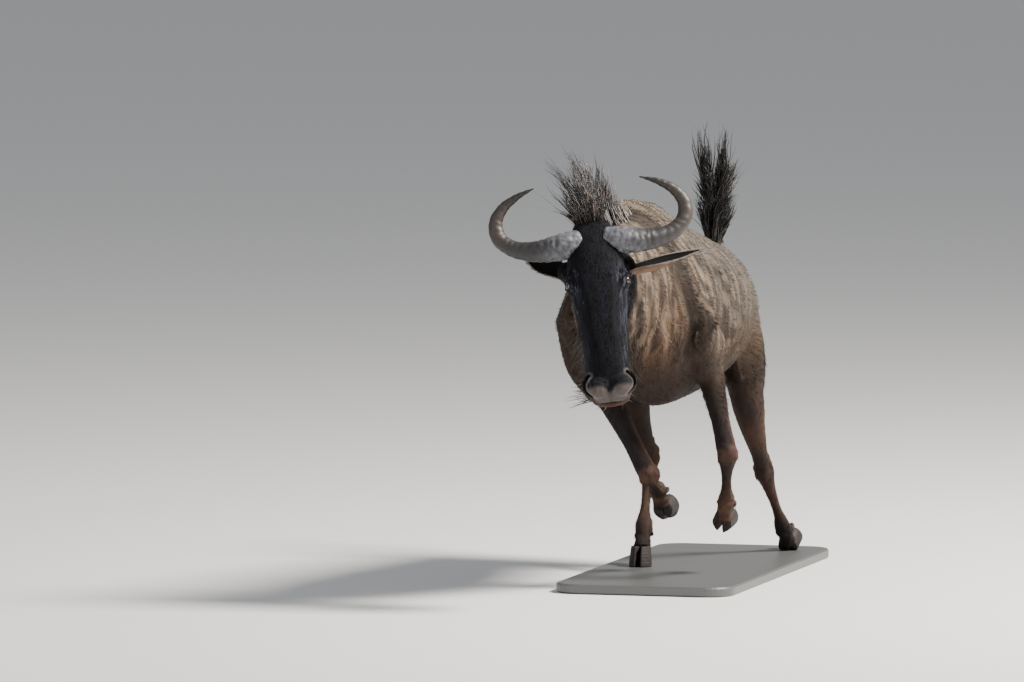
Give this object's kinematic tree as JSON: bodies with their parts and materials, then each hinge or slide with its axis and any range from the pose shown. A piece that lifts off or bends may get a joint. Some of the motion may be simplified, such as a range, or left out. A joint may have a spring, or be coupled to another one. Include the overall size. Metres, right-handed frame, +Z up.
{
  "type": "galloping blue wildebeest figure",
  "caption": "Still life-size blue wildebeest at full gallop, horns low, mane and tail flung up, standing on a flat base under its hind feet.",
  "frame": {"origin": "middle of the underside of the whole model's box, on the floor", "axes": "the animal faces -Y, +X is its left side, +Z is up"},
  "size_m": [0.6492, 1.9406, 1.3988],
  "materials": {
    "hide": "short brindled hair",
    "face_hide": "short black hair",
    "ear_hide": "short hair",
    "leg_hide": "short brown hair",
    "tail_hair": "long black hair",
    "horn": "ridged horn, smooth at the tip",
    "hoof": "dull horn",
    "eye": "wet and glossy",
    "stand": "satin"
  },
  "bodies": {
    "root": {"head": "face_hide", "neck": "hide", "torso": "hide", "tail": "tail_hair", "horn_left": "horn", "horn_right": "horn", "ear_left": "ear_hide", "ear_right": "ear_hide", "eye_left": "eye", "eye_right": "eye", "stand_base": "stand", "fore_left_upper": "leg_hide", "fore_left_shank": "leg_hide", "fore_left_claw_a": "hoof", "fore_left_claw_b": "hoof", "fore_right_upper": "leg_hide", "fore_right_shank": "leg_hide", "fore_right_claw_a": "hoof", "fore_right_claw_b": "hoof", "hind_left_upper": "leg_hide", "hind_left_shank": "leg_hide", "hind_left_claw_a": "hoof", "hind_left_claw_b": "hoof", "hind_right_upper": "leg_hide", "hind_right_shank": "leg_hide", "hind_right_claw_a": "hoof", "hind_right_claw_b": "hoof"}
  },
  "joints": []
}
